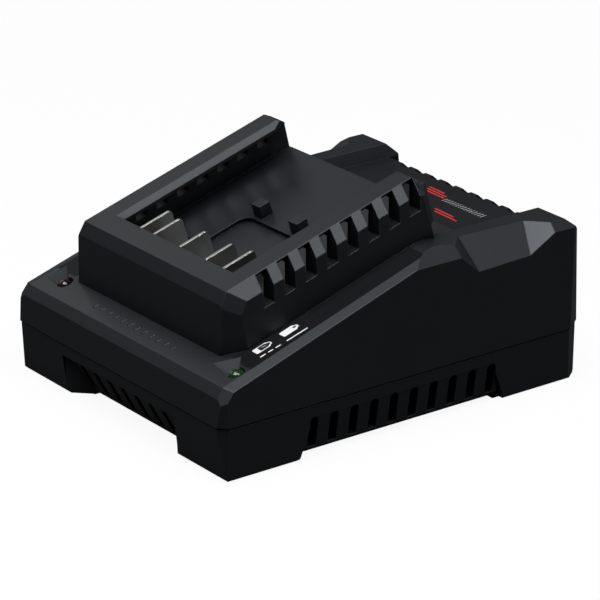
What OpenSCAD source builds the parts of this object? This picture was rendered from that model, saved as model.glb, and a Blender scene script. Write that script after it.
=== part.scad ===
// Charger for slide-on power tool battery packs, with its inner parts.
// Millimetres, +Z up, front (lights and contacts) towards -Y, width along X.

/* [Case] */
// Overall width across the seam lip
case_w = 114; // [112:0.5:118]
// Overall length from front seam lip to rear seam lip
case_l = 143.5; // [142:0.5:148]
// Height of the seam between the two housing halves
seam_z = 17.7; // [17.2:0.1:18.4]
// Wall thickness of both housing halves
wall = 2.5; // [2.2:0.1:2.8]
// Height of the deck's front top edge
deck_z = 29.6; // [29.2:0.1:30.4]
// Slope of the deck in degrees
deck_tilt = 17.7; // [17.2:0.1:18.1]
// Height of the level tray behind the dock
tray_z = 49.3; // [48.8:0.1:50]
// Height of the two rear corner guards
guard_z = 53.6; // [53.2:0.1:54]

/* [Dock] */
// Height of the dock's front top edge
dock_z = 52.9; // [52.5:0.1:54]
// Slope of the dock in degrees
dock_tilt = 17; // [16.6:0.1:17.4]
// Half width of the gap between the two rail lips
rail_hw = 29.7; // [29.4:0.1:30.2]
// Width of the groove under each lip
groove_w = 7.3; // [6.8:0.1:7.6]
// Thickness of the dock's side wall at its top
dock_wall = 1.35; // [1.2:0.05:1.6]
// Depth of the channel floor below the dock's top
channel_depth = 15.2; // [14.8:0.1:15.4]
// Slots in each side wall of the dock
slot_count = 8; // [6:1:8]
// Distance from one side slot to the next
slot_pitch = 7.99; // [7.6:0.01:8]
// Width of a side slot
slot_w = 4.2; // [3.6:0.1:4.6]

/* [Vents] */
// Vent slots in each side of the lower housing
side_vents = 10; // [6:1:10]
// Vent slots in the front of the lower housing
front_vents = 7; // [3:2:7]
// Vent slots in the rear wall
rear_vents = 8; // [6:1:9]
// Width of a vent slot
vent_w = 3.3; // [2.8:0.1:3.6]

/* [Contacts] */
// Thickness of a contact blade
blade_t = 1; // [0.8:0.1:1.2]
// Play between a blade and its slot
blade_gap = 0.1; // [0.05:0.01:0.2]
// Depth of a blade's top edge below the dock's top
blade_top = 3; // [2.6:0.1:4]
// Play between the contact carrier and its opening
carrier_gap = 0.2; // [0.1:0.05:0.3]

/* [Lights] */
// Radius of a light pipe
pipe_r = 2.4; // [2.2:0.1:2.5]
// Play around a light pipe
pipe_gap = 0.3; // [0.3:0.05:0.4]

/* [Circuit board] */
// Thickness of the circuit board
board_t = 1.6; // [1.4:0.1:1.8]
// Height of the circuit board's underside
board_z = 8; // [7.6:0.1:8.4]

/* [Cord inlet] */
// Inner radius of the cord gland
cord_r = 3.5; // [3:0.1:3.8]
// Thickness of the gland's tube
gland_t = 1.6; // [1.3:0.1:1.7]

/* [Screws] */
// Radius of the housing screws' shanks
screw_r = 1.5; // [1.3:0.1:1.7]
// Play around a screw's shank
screw_gap = 0.35; // [0.3:0.05:0.4]

/* [Hidden] */
$fn = 48;

hw = case_w / 2;
big = 300;
eps = 0.02;
ledge_y = 3.6;
crest_y = 86;
dock_y = 15.4;
channel_hw = rail_hw + groove_w;
dock_hw = channel_hw + dock_wall;
dock_end = 85.6;
floor_end = 95;
bevel_drop = 4.5;
bevel_w = 3.95;
base_z = 1.5;
floor_z = base_z + 2;
board_top = board_z + board_t;
light_x = [hw - 7, -(hw - 13.8)];
light_y = 10.5;
ramp_depth = 2;
rear_pitch = 7.87;
strip_t = 0.4;
blade_x = [for (x = [-22.3, -15.1, -1, 12.9, 22.2]) x * rail_hw / 29.7];
blade_end = [36.5, 35.5, 35.5, 35.5, 36.5];
carrier_y = [24, 39];
carrier_hw = rail_hw - 4.2;
carrier_t = 6;
housing_screw_at = [for (y = [33, case_l - 15.5]) for (s = [-1, 1]) [s * (hw - 9), y]];
board_hw = hw - 15;
board_mid = case_l - 25.5;
board_rear = case_l - 12.5;
board_screw_at = [[hw - 27, 14], [-(hw - 27), 14], [hw - 20, case_l - 23.5], [-(hw - 20), board_mid - 5.5]];
keyhole_at = [-32, 32];
rear_in = case_l - wall - 0.9;
gland_x = -26;
clamp_screw_x = cord_r + gland_t + 3.9;
clamp_y = rear_in - 8;
gland_z = floor_z + cord_r + gland_t + 1.2;

function deck_at(y) = deck_z + (y - ledge_y) * tan(deck_tilt);
function dock_at(y) = dock_z + (y - dock_y) * tan(dock_tilt);
function mirrored(points) = concat(points, [for (i = [len(points) - 1 : -1 : 0]) [-points[i][0], points[i][1]]]);

// Prisms along X, Y and Z from a polygon seen along that axis.
module prism_x(points, half) rotate([90, 0, 90]) linear_extrude(2 * half, center = true) polygon(points);
module prism_y(points, y0, y1) translate([0, y1, 0]) rotate([90, 0, 0]) linear_extrude(y1 - y0) polygon(points);
module prism_z(points, z0, z1) translate([0, 0, z0]) linear_extrude(z1 - z0) polygon(points);

// Everything on the side of the plane through p, q and r that their normal points to.
module beyond(p, q, r) {
  n = cross(q - p, r - p);
  translate(p)
    rotate([0, acos(n[2] / norm(n)), atan2(n[1], n[0])])
      translate([-big, -big, 0])
        cube([2 * big, 2 * big, big]);
}

module both_sides() {
  children();
  mirror([1, 0, 0]) children();
}

module box(x, y, z) translate([x[0], y[0], z[0]]) cube([x[1] - x[0], y[1] - y[0], z[1] - z[0]]);

module pin(at, z0, z1, r) translate([at[0], at[1], z0]) cylinder(h = z1 - z0, r = r);

// Local frames lying on the dock's top plane and on the deck.
module on_dock() translate([0, dock_y, dock_z]) rotate([dock_tilt, 0, 0]) children();
module on_deck() translate([0, ledge_y, deck_z]) rotate([deck_tilt, 0, 0]) children();

function plan(inset, front, side, rear) = mirrored([
  [hw - inset - front, inset],
  [hw - inset, inset + front],
  [hw - inset, case_l - inset - rear],
  [hw - inset - side, case_l - inset]]);

function down(off) = -off * cos(dock_tilt);

// ---------------------------------------------------------------- upper housing

module deck_body() {
  top = deck_at(80);
  difference() {
    intersection() {
      prism_x([[0, seam_z], [1.3, deck_z - 3.2], [ledge_y, deck_z], [80, top], [83, top + 0.75],
               [crest_y, top + 1.05], [crest_y + 3, top + 0.9], [crest_y + 6, top + 0.45],
               [100, guard_z], [case_l - 6.4, guard_z], [case_l - 2.5, guard_z - 3.6],
               [case_l, seam_z]], hw + 1);
      prism_y(mirrored([[hw, seam_z], [hw - 1.7, seam_z + 38], [hw - 2, 70]]), -1, case_l + 1);
      prism_z(plan(0, 3, 5, 6.8), seam_z, 70);
    }
    both_sides() {
      // side bevel along the deck, the guard's side bevel, the front corner facet
      beyond([hw - 4.2, ledge_y, deck_z], [hw - 0.7, 4, deck_z - 0.9], [hw - 5, 80, top]);
      beyond([hw - 5, 100, guard_z], [hw - 1.2, 100, guard_z - 2.4], [hw - 5, case_l, guard_z]);
      beyond([hw - 4.2, ledge_y, deck_z], [hw - 4, 1.3, deck_z - 3.1], [hw - 0.7, 4.8, deck_z - 0.7]);
      guard_scoop();
    }
    rear_tray();
  }
}

// Three-sided facet cut out of a rear corner guard.
module guard_scoop() {
  front_low = [hw - 1.3, crest_y + 13.4, guard_z - 8.2];
  front_top = [hw - 12.4, crest_y + 13.8, guard_z];
  rear_top = [hw - 15.1, case_l - 21.8, guard_z];
  rear_low = [hw - 1.3, case_l - 23.3, guard_z - 7.5];
  rear_out = [hw - 6, case_l - 13.1, guard_z];
  front_out = [hw - 4.5, crest_y + 5.5, guard_z + 0.9];
  intersection() {
    beyond(front_top, front_low, rear_low);
    beyond(rear_top, rear_low, rear_out);
    beyond(front_out, front_low, front_top);
  }
}

// Tray between the guards with sloped sides, falling from the crest to the rear edge.
module rear_tray() {
  tray_hw = hw - 19.7;
  intersection() {
    prism_x([[crest_y + 1, deck_at(80) + 1.2], [case_l - 33.5, tray_z], [case_l - 6.5, tray_z],
             [case_l - 2.3, tray_z - 3.8], [case_l + 2, tray_z - 3.8], [case_l + 2, 70],
             [crest_y + 1, 70]], hw);
    prism_y(mirrored([[tray_hw, tray_z - 4], [tray_hw, tray_z], [tray_hw + 2, guard_z],
                      [tray_hw + 5, guard_z + 6]]), crest_y, case_l + 3);
  }
}

module dock_body() {
  low = 24;
  difference() {
    intersection() {
      prism_x([[12.8, low], [12.8, 32.5], [13.2, dock_z - 4.1], [dock_y, dock_z],
               [dock_end, dock_at(dock_end)], [dock_end + 1.2, dock_at(dock_end) - 0.4],
               [dock_end + 5.9, dock_at(dock_end) - 3.1], [dock_end + 7.2, dock_at(dock_end) - 6.6],
               [floor_end, dock_at(floor_end) - channel_depth],
               [floor_end + 1, 50], [floor_end + 1, low]], hw);
      on_dock()
        rotate([90, 0, 0])
          linear_extrude(240, center = true)
            polygon(mirrored([[dock_hw, 0],
                              [dock_hw + bevel_w, down(bevel_drop)],
                              [dock_hw + bevel_w + 1.4, down(19)],
                              [dock_hw + bevel_w + 1.6, down(60)]]));
      prism_z(mirrored([[dock_hw + 0.3, 12.8], [dock_hw + 5.35, 19.5], [dock_hw + 5.35, 90.8],
                        [dock_hw + 3.4, 95], [dock_hw + 1, floor_end + 2]]), low, 90);
    }
    both_sides() {
      // front corner facet, the turned facet behind the last side slot, the rear end
      beyond([dock_hw, dock_y, dock_z], [dock_hw + 0.3, 13.2, dock_z - 4.1],
             [dock_hw + bevel_w, 17.6, dock_z - 7]);
      intersection() {
        beyond([dock_hw, dock_end + 1, dock_at(dock_end) - 0.3],
               [dock_hw + bevel_w, dock_end + 0.2, dock_at(dock_end) - 4.9],
               [dock_hw + 1.6, dock_end + 4.7, dock_at(dock_end) - 2.6]);
        box([dock_hw - 1, hw], [dock_end + 0.2, 100], [50, 90]);
      }
      translate([dock_hw + bevel_w, dock_end + 2.2, dock_at(dock_end) - 6]) {
        intersection() {
          beyond([0, 0, 0], [0, 3, -10], [-5, 3, 0]);
          box([-bevel_w - dock_wall - 1, 10], [-2, 12], [-20, 0]);
        }
        intersection() {
          beyond([0, 0, 0], [-5, 3, 0], [0, 4.2, 10]);
          box([-bevel_w - dock_wall - 1, 10], [-2, 12], [-eps, 10]);
        }
      }
    }
  }
}

// Battery channel with its undercut rail grooves.
module channel_cut() {
  lead = (22.8 - dock_y) / cos(dock_tilt);
  on_dock() {
    translate([0, lead, 0])
      translate([0, 120, 0])
        rotate([90, 0, 0])
          linear_extrude(120)
            polygon(mirrored([[channel_hw, down(channel_depth)], [channel_hw, down(3)],
                              [rail_hw, down(3)], [rail_hw, down(1.9)], [rail_hw + 1.65, 0],
                              [rail_hw + 1.65, 9]]));
    // widened mouth at the rear end of the rails
    both_sides()
      prism_z([[rail_hw - 1, 68], [rail_hw + 2.4, 78], [rail_hw + 2.4, 90], [rail_hw - 1, 90]],
              down(3.6), 4);
  }
}

module slot_cuts() {
  intersection() {
    on_dock()
      rotate([90, 0, 0])
        linear_extrude(240, center = true)
          polygon([[channel_hw - 1.5, down(3)], [dock_hw - 0.15, down(0.35)], [dock_hw + 12, down(0.35)],
                   [dock_hw + 12, down(9.8)], [channel_hw - 1.5, down(9.8)]]);
    union()
      for (i = [0 : slot_count - 1])
        box([0, hw], [26 + i * slot_pitch, 26 + i * slot_pitch + slot_w], [30, 90]);
  }
}

module contact_recess() {
  back = (57 - dock_y) / cos(dock_tilt);
  half = rail_hw - 15.1;
  on_dock()
    translate([0, 0, down(channel_depth + 1.4)])
      linear_extrude(3)
        intersection() {
          translate([-half, 0]) square([2 * half, back]);
          union() {
            translate([-half, 0]) square([2 * half, back - 4]);
            translate([4 - half, 0]) square([2 * half - 8, back]);
            for (s = [-1, 1]) translate([s * (half - 4), back - 4]) circle(r = 4);
          }
        }
}

module pack_stops() {
  front = (58.3 - dock_y) / cos(dock_tilt);
  both_sides()
    on_dock()
      translate([7.6, front, down(channel_depth) - 0.5])
        cube([4.4, 4.2, 5]);
}

module carrier_opening(gap) {
  on_dock()
    translate([0, 0, down(channel_depth + 5)])
      linear_extrude(8)
        translate([-carrier_hw - gap, carrier_local(0) - gap])
          square([2 * (carrier_hw + gap), carrier_local(1) - carrier_local(0) + 2 * gap]);
}

function carrier_local(i) = (carrier_y[i] - dock_y) / cos(dock_tilt);

// Hollow under the deck and under the dock.
module upper_cavity() {
  t = wall + 0.15;
  intersection() {
    prism_x([[wall, seam_z - 1], [wall + 0.2, seam_z], [wall + 1.6, deck_z - 4], [wall + 3.6, deck_at(wall + 3.6) - t],
             [84, deck_at(84) - t], [crest_y + 2, deck_at(84) - t - 0.4], [case_l - 34.5, tray_z - t],
             [case_l - 7.5, tray_z - t], [case_l - wall - 2.2, tray_z - t - 3.8],
             [case_l - wall - 0.2, seam_z], [case_l - wall - 0.2, seam_z - 1]], hw);
    prism_y(mirrored([[hw - wall - 0.2, seam_z - 1], [hw - wall - 1, 38.5], [hw - 9.5, 43.5],
                      [hw - 9.5, 70]]), 0, case_l);
    prism_z(plan(wall, 2.2, 4.4, 6), seam_z - 1, 70);
  }
  intersection() {
    prism_x([[19, 20], [19, dock_at(19) - channel_depth - t], [92, dock_at(92) - channel_depth - t],
             [92, 20]], channel_hw - wall);
    box([-hw, hw], [0, case_l], [20, 70]);
  }
  box([-dock_hw + 4, dock_hw - 4], [dock_y + 0.4, 20.2], [20, dock_z - 4.5]);
}

module vent_openings() {
  w = vent_w + 0.9;
  for (i = [0 : rear_vents - 1])
    translate([(i - (rear_vents - 1) / 2) * rear_pitch, 0, 0])
      box([-w / 2, w / 2], [case_l - 8.2, case_l + 2], [seam_z + 7, tray_z + 2]);
}

module light_bore(x) pin([x, light_y], 20, 60, pipe_r + pipe_gap);

// Ramp that runs down to a light from the line between two points of the deck.
module light_ramp(x, front, rear) {
  low = [x, light_y, deck_at(light_y) - ramp_depth];
  intersection() {
    prism_z([front, rear, [x - 1.5, light_y + 2.4], [x, light_y], [x - 1.5, light_y - 2.2]], 25, 45);
    beyond([rear[0], rear[1], deck_at(rear[1])], [front[0], front[1], deck_at(front[1])], low);
  }
}

module upper_housing() {
  color([0.10, 0.11, 0.12])
    translate([0, -case_l / 2, 0])
      difference() {
        union() {
          difference() {
            union() {
              deck_body();
              dock_body();
            }
            difference() {
              upper_cavity();
              for (x = light_x) pin([x, light_y], deck_at(light_y) - wall - 1.2, 60, 7);
            }
            channel_cut();
          }
          pack_stops();
          for (at = housing_screw_at)
            pin(at, seam_z, min(deck_at(at[1]), guard_z) - wall - 1, 3.6);
        }
        both_sides() slot_cuts();
        contact_recess();
        carrier_opening(carrier_gap);
        vent_openings();
        strip_shape(strip_t, 0);
        for (x = light_x) light_bore(x);
        light_ramp(light_x[0], [dock_hw + 1, 9.45], [dock_hw + 6.05, 16.6]);
        light_ramp(light_x[1], [5.6 - hw, 9], [5.6 - hw, 16.7]);
        for (at = housing_screw_at) pin(at, seam_z - 1, seam_z + 12.5, screw_r + screw_gap);
      }
}

// ---------------------------------------------------------------- lower housing

front_foot_y = 29;
rear_foot_y = case_l - 33;

module lower_outline() {
  intersection() {
    prism_x([[2.4, 0.8], [3.2, 0], [case_l - 1.8, 0], [case_l - 1, 0.8],
             [case_l - 0.3, seam_z], [0.3, seam_z]], hw);
    prism_y(mirrored([[hw - 1.5, 0], [hw - 0.6, 0.8], [hw - 0.3, seam_z]]), 0, case_l);
    prism_z(plan(0.3, 3, 5, 6.8), 0, seam_z);
  }
}

// Space under and between the feet: the base plate sits higher, the front and the
// two sides are undercut so that air reaches the slots.
module foot_gaps() {
  box([-hw, hw], [front_foot_y + 3, rear_foot_y - 3], [-1, base_z]);
  box([-24, 24], [-1, case_l + 1], [-1, base_z]);
  box([-hw + 12, hw - 12], [14, case_l - 12], [-1, base_z]);
  intersection() {
    prism_x([[-1, 13.2], [2, 13.2], [8.4, base_z], [8.4, -1], [-1, -1]], hw);
    prism_z(mirrored([[30.8, -1], [30.8, 2], [24, 9]]), -1, seam_z);
  }
  both_sides()
    intersection() {
      prism_y([[hw - 0.5, 13.2], [hw - 2.2, 2.6], [hw - 3.2, 2.6], [hw - 3.2, -1], [hw + 1, -1],
               [hw + 1, 13.2]], 0, case_l);
      prism_x([[front_foot_y, -1], [front_foot_y + 5.5, 13.2], [rear_foot_y - 5.5, 13.2],
               [rear_foot_y, -1]], hw + 1);
    }
}

module vent_slot(w, low, high, depth) {
  box([-w / 2, w / 2], depth, [low, high - w / 2]);
  translate([0, depth[1], high - w / 2])
    rotate([90, 0, 0])
      cylinder(h = depth[1] - depth[0], r = w / 2);
}

module lower_vents() {
  side_pitch = (rear_foot_y - front_foot_y - 11.75) / (side_vents - 1);
  for (i = [0 : side_vents - 1])
    translate([0, front_foot_y + 5.9 + i * side_pitch, 0])
      both_sides()
        rotate([0, 0, 90])
          vent_slot(vent_w, floor_z - 0.3, 13.4, [-hw - 1, -hw + 4.5]);
  for (i = [0 : front_vents - 1])
    translate([(i - (front_vents - 1) / 2) * 7.5, 0, 0])
      vent_slot(vent_w * 0.8, floor_z - 0.3, 13.6, [-1, 12]);
}

module lower_cavity() {
  intersection() {
    prism_x([[10.5, floor_z], [wall + 1.4, 12.5], [wall + 0.6, seam_z + 1],
             [rear_in, seam_z + 1], [rear_in, floor_z]], hw);
    prism_y(mirrored([[hw - wall - 1.8, floor_z], [hw - wall - 0.6, seam_z + 1]]), 0, case_l);
    prism_z(plan(wall + 0.4, 2, 4.4, 6), floor_z, seam_z + 1);
  }
}

module keyhole(x) {
  translate([x, case_l / 2, 0]) {
    translate([0, -4, -1]) cylinder(h = floor_z + 2, r = 4.2);
    translate([-2.1, -4, -1]) cube([4.2, 12, floor_z + 2]);
    translate([0, 8, -1]) cylinder(h = floor_z + 2, r = 2.1);
  }
}

module lower_housing() {
  color([0.07, 0.075, 0.08])
    translate([0, -case_l / 2, 0])
      difference() {
        union() {
          difference() {
            lower_outline();
            lower_cavity();
            foot_gaps();
          }
          for (at = housing_screw_at) pin(at, base_z, seam_z, 4.2);
          for (at = board_screw_at) pin(at, floor_z - 0.5, board_z, 3.2);
          for (s = [-1, 1]) pin([gland_x + s * clamp_screw_x, clamp_y], floor_z - 0.5, gland_z - 2, 2.8);
          // ribs under the board's middle
          for (x = [-16, 16]) box([x - 0.8, x + 0.8], [50, 84], [floor_z - 0.5, board_z]);
        }
        lower_vents();
        for (at = housing_screw_at) {
          pin(at, -1, 6, 3.3);
          pin(at, -1, seam_z + 1, screw_r + screw_gap);
        }
        for (at = board_screw_at) pin(at, floor_z + 0.8, board_z + 1, 1.2 + screw_gap);
        for (s = [-1, 1])
          pin([gland_x + s * clamp_screw_x, clamp_y], floor_z + 0.5, gland_z, 1.1 + screw_gap);
        for (x = keyhole_at) keyhole(x);
        gland_hole();
        // shadow line under the seam lip
        difference() {
          box([-hw - 1, hw + 1], [-1, case_l + 1], [seam_z - 0.5, seam_z + 1]);
          prism_z(plan(1, 3, 5, 6.8), seam_z - 2, seam_z + 2);
        }
      }
}

// ---------------------------------------------------------------- contacts

module blade_shape(i, gap) {
  back = (blade_end[i] - dock_y) / cos(dock_tilt);
  front = (25 - dock_y) / cos(dock_tilt);
  r = 1.2;
  on_dock()
    translate([blade_x[i] - blade_t / 2 - gap, 0, 0])
      rotate([90, 0, 90])
        linear_extrude(blade_t + 2 * gap)
          union() {
            translate([front - gap, down(channel_depth + carrier_t + 2)])
              square([back - front + 2 * gap, down(blade_top) - down(channel_depth + carrier_t + 2) - r]);
            translate([front - gap, down(channel_depth)])
              square([back - front - r, down(blade_top) - down(channel_depth)]);
            translate([back - r, down(blade_top) - r]) circle(r = r);
          }
}

module blade(i) {
  color([0.78, 0.76, 0.70])
    translate([0, -case_l / 2, 0])
      union() {
        blade_shape(i, 0);
        // tail down to the circuit board
        box([blade_x[i] - blade_t / 2, blade_x[i] + blade_t / 2], [foot[0] + 1, foot[0] + 4],
            [board_top, foot[1] + 2.2]);
      }
}

// Where the front edge of a blade ends below the carrier.
foot = let (w = down(channel_depth + carrier_t + 2))
  [25 - w * sin(dock_tilt), dock_z + (25 - dock_y) * tan(dock_tilt) + w * cos(dock_tilt)];

module negative_contact_blade() blade(0);
module temperature_contact_blade() blade(1);
module coding_contact_blade() blade(2);
module balance_contact_blade() blade(3);
module positive_contact_blade() blade(4);

module contact_carrier() {
  y0 = carrier_local(0);
  y1 = carrier_local(1);
  color([0.12, 0.12, 0.13])
    translate([0, -case_l / 2, 0])
      difference() {
        union() {
          on_dock() {
            translate([-carrier_hw, y0, down(channel_depth + carrier_t)])
              cube([2 * carrier_hw, y1 - y0, down(channel_depth + 1.4) - down(channel_depth + carrier_t)]);
            // flange against the underside of the channel floor
            translate([-carrier_hw - 1.5, y0 + 1, down(channel_depth + carrier_t)])
              cube([2 * carrier_hw + 3, y1 - y0, down(channel_depth + wall + 0.15) - down(channel_depth + carrier_t)]);
          }
          // legs standing on the circuit board, between two blades each
          for (s = [-1, 1])
            translate([s * 18.1 * rail_hw / 29.7, 0, 0])
              box([-2, 2], [foot[0], foot[0] + 7], [board_top, foot[1] + 4.2]);
        }
        for (i = [0 : 4]) blade_shape(i, blade_gap);
      }
}

// ---------------------------------------------------------------- lights and strip

module strip_shape(t, gap) {
  left = dock_hw + bevel_w + 2.4;
  right = hw - 5.3;
  on_deck()
    translate([left + gap, 14.2 + gap, -t])
      cube([right - left - 2 * gap, 26 - 2 * gap, t + (gap > 0 ? 0 : 1)]);
}

module indicator_strip() {
  color([0.06, 0.06, 0.07])
    translate([0, -case_l / 2, 0])
      strip_shape(strip_t, 0.05);
}

module light_pipe(x, tint) {
  top = deck_at(light_y) + 0.1;
  under = deck_at(light_y) - wall - 1.2;
  color(tint)
    translate([0, -case_l / 2, 0])
      union() {
        pin([x, light_y], board_top + 4.8, top - 0.8, pipe_r);
        intersection() {
          pin([x, light_y], top - 1, top + 3, pipe_r);
          translate([x, light_y, top - 3.6]) sphere(r = 4.4);
        }
        pin([x, light_y], under - 1.2, under, 3);
      }
}

module green_light_pipe() light_pipe(light_x[0], [0.25, 0.75, 0.35]);
module red_light_pipe() light_pipe(light_x[1], [0.85, 0.25, 0.2]);

module led(x, tint) {
  color(tint)
    translate([0, -case_l / 2, 0]) {
      pin([x, light_y], board_top, board_top + 1, 1.9);
      pin([x, light_y], board_top + 1 - eps, board_top + 4.5, 1.5);
    }
}

module green_led() led(light_x[0], [0.5, 0.9, 0.5]);
module red_led() led(light_x[1], [0.9, 0.4, 0.35]);

// ---------------------------------------------------------------- circuit board

module circuit_board() {
  color([0.10, 0.28, 0.16])
    translate([0, -case_l / 2, 0])
      difference() {
        prism_z(mirrored([[hw - 4.6, 8], [hw - 4.6, 24], [board_hw, 26], [board_hw, case_l - 19.5],
                          [4, case_l - 19.5], [4, board_rear]]), board_z, board_top);
        for (at = board_screw_at) pin(at, board_z - 1, board_top + 1, 1.2 + screw_gap);
        box([-hw, 0], [board_mid, case_l], [board_z - 1, board_top + 1]);
      }
}

// Parts on the board keep their place on it and shrink with it.
across = case_w / 114;
along = case_l / 143.5;
module on_board(at)
  translate([at[0] * across, at[1] * along - case_l / 2, board_top])
    scale(min(across, along))
      children();

module block(w, d, h) translate([-w / 2, -d / 2, 0]) cube([w, d, h]);

module transformer_core() {
  color([0.20, 0.20, 0.21])
    on_board([4, 70])
      difference() {
        block(32, 12, 28);
        for (s = [-1, 1]) translate([s * 8.6, 0, 4.5]) block(8.2, 14, 19);
      }
}

module transformer_winding() {
  color([0.75, 0.60, 0.25])
    on_board([4, 70])
      difference() {
        translate([0, 0, 4.5]) block(24.6, 22, 19);
        translate([0, 0, -1]) block(9, 12, 40);
        for (s = [-1, 1]) translate([s * 14.3, 0, 0]) block(4, 12.1, 40);
      }
}

module can_capacitor(r, h) {
  cylinder(h = 1, r = r - 0.4);
  translate([0, 0, 1]) cylinder(h = h - 1, r = r);
}

module input_capacitor() color([0.14, 0.15, 0.30]) on_board([-24, 84]) can_capacitor(9, 28);

module output_capacitors() {
  color([0.12, 0.20, 0.20]) {
    on_board([30, 44]) can_capacitor(5, 20);
    on_board([18, 50]) can_capacitor(5, 20);
  }
}

module finned_sink(w, h) {
  block(w, 2, h);
  for (i = [0 : 4]) translate([(i - 2) * (w - 3) / 4, 4, 0]) block(1.5, 6.2, h);
}

module primary_heat_sink() color([0.70, 0.71, 0.73]) on_board([-24, 58]) finned_sink(26, 26);
module secondary_heat_sink() color([0.70, 0.71, 0.73]) on_board([32, 62]) rotate([0, 0, -90]) finned_sink(24, 26);

module tab_package() {
  translate([0, 0, 6]) block(10, 4.4, 15);
  for (i = [-1 : 1]) translate([i * 2.54, 0, 0]) block(0.9, 0.6, 6.5);
}

module power_transistor() color([0.10, 0.10, 0.11]) on_board([-24, 58]) translate([0, -3.2, 0]) tab_package();

module output_diode()
  color([0.10, 0.10, 0.11])
    on_board([32, 62])
      rotate([0, 0, 90]) translate([0, 3.2, 0]) tab_package();

module line_choke() {
  color([0.72, 0.42, 0.20])
    on_board([24, 108])
      translate([0, 0, 2])
        difference() {
          cylinder(h = 9, r = 9);
          translate([0, 0, -1]) cylinder(h = 11, r = 4);
        }
}

module line_choke_base() color([0.12, 0.12, 0.12]) on_board([24, 108]) block(20, 20, 2);

module suppression_capacitor() color([0.85, 0.72, 0.20]) on_board([0, 108]) block(18, 9, 15);

module fuse() {
  color([0.80, 0.80, 0.78])
    on_board([-24, 106]) {
      translate([-10, 0, 3.6]) rotate([0, 90, 0]) cylinder(h = 20, r = 2.6);
      for (s = [-1, 1]) translate([s * 8, 0, 0]) block(2.4, 5.6, 3.2);
    }
}

module bridge_rectifier() {
  color([0.10, 0.10, 0.11])
    on_board([4, 92]) {
      translate([0, 0, 3]) block(16, 3.6, 13);
      for (i = [0 : 3]) translate([(i - 1.5) * 3.8, 0, 0]) block(0.9, 0.9, 3.5);
    }
}

module controller_chip() color([0.08, 0.08, 0.09]) on_board([0, 18]) block(9, 7, 1.4);
module optocoupler() color([0.92, 0.92, 0.90]) on_board([4, 52]) block(6.5, 8.5, 3.6);
module mains_terminal() color([0.22, 0.45, 0.25]) on_board([-26, 113]) block(13, 7.6, 9);

// ---------------------------------------------------------------- cord inlet

module gland_hole() {
  translate([gland_x, rear_in - 1, gland_z])
    rotate([-90, 0, 0])
      cylinder(h = 12, r = cord_r + gland_t + 0.3);
}

module cord_gland() {
  out = case_l - 0.9;
  color([0.09, 0.09, 0.10])
    translate([gland_x, -case_l / 2, gland_z])
      rotate([-90, 0, 0])
        difference() {
          union() {
            translate([0, 0, rear_in - 2]) cylinder(h = out - rear_in + 2, r = cord_r + gland_t);
            translate([0, 0, rear_in - 2]) cylinder(h = 2, r = cord_r + gland_t + 1.1);
          }
          translate([0, 0, rear_in - 4]) cylinder(h = 20, r = cord_r);
        }
}

module cord_clamp() {
  color([0.55, 0.56, 0.58])
    translate([gland_x, clamp_y - case_l / 2, gland_z - 2])
      difference() {
        union() {
          block(2 * clamp_screw_x + 6, 6, 2);
          block(2 * cord_r + 4, 6, cord_r + 3);
        }
        translate([0, 0, -1]) block(2 * cord_r, 7, 3);
        translate([0, 4, 2 + eps]) rotate([90, 0, 0]) cylinder(h = 8, r = cord_r - 0.4);
        for (s = [-1, 1]) translate([s * clamp_screw_x, 0, -1]) cylinder(h = 4, r = 1.1 + screw_gap);
      }
}

// ---------------------------------------------------------------- screws

module screw(z_head, down_head, length, r, head_r) {
  pin([0, 0], z_head, z_head + 1.8, head_r);
  if (down_head)
    pin([0, 0], z_head + 1.8 - eps, z_head + length, r);
  else
    pin([0, 0], z_head - length, z_head + eps, r);
}

module housing_screws()
  color([0.60, 0.61, 0.63])
    for (at = housing_screw_at)
      translate([at[0], at[1] - case_l / 2, 0]) screw(4.2, true, 24, screw_r, 2.9);

module circuit_board_screws()
  color([0.60, 0.61, 0.63])
    for (at = board_screw_at)
      translate([at[0], at[1] - case_l / 2, 0]) screw(board_top, false, 4.2, 1.2, 2.2);

module cord_clamp_screws()
  color([0.60, 0.61, 0.63])
    for (s = [-1, 1])
      translate([gland_x + s * clamp_screw_x, clamp_y - case_l / 2, 0]) screw(gland_z, false, 5, 1.1, 2);

// ---------------------------------------------------------------- parts

upper_housing();
lower_housing();
contact_carrier();
negative_contact_blade();
temperature_contact_blade();
coding_contact_blade();
balance_contact_blade();
positive_contact_blade();
indicator_strip();
green_light_pipe();
red_light_pipe();
green_led();
red_led();
circuit_board();
transformer_core();
transformer_winding();
input_capacitor();
output_capacitors();
primary_heat_sink();
secondary_heat_sink();
power_transistor();
output_diode();
line_choke();
line_choke_base();
suppression_capacitor();
fuse();
bridge_rectifier();
controller_chip();
optocoupler();
mains_terminal();
cord_gland();
cord_clamp();
cord_clamp_screws();
housing_screws();
circuit_board_screws();
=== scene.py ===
"""Finish, small parts, lights and camera for a charger of slide-on tool batteries.

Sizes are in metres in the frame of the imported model: X across the case, Y from the
lights to the cord, Z up, with zero under the middle of the case. The lists of places in
the operators are in mm, with Y counted from the front lip of the case.
"""

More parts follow.
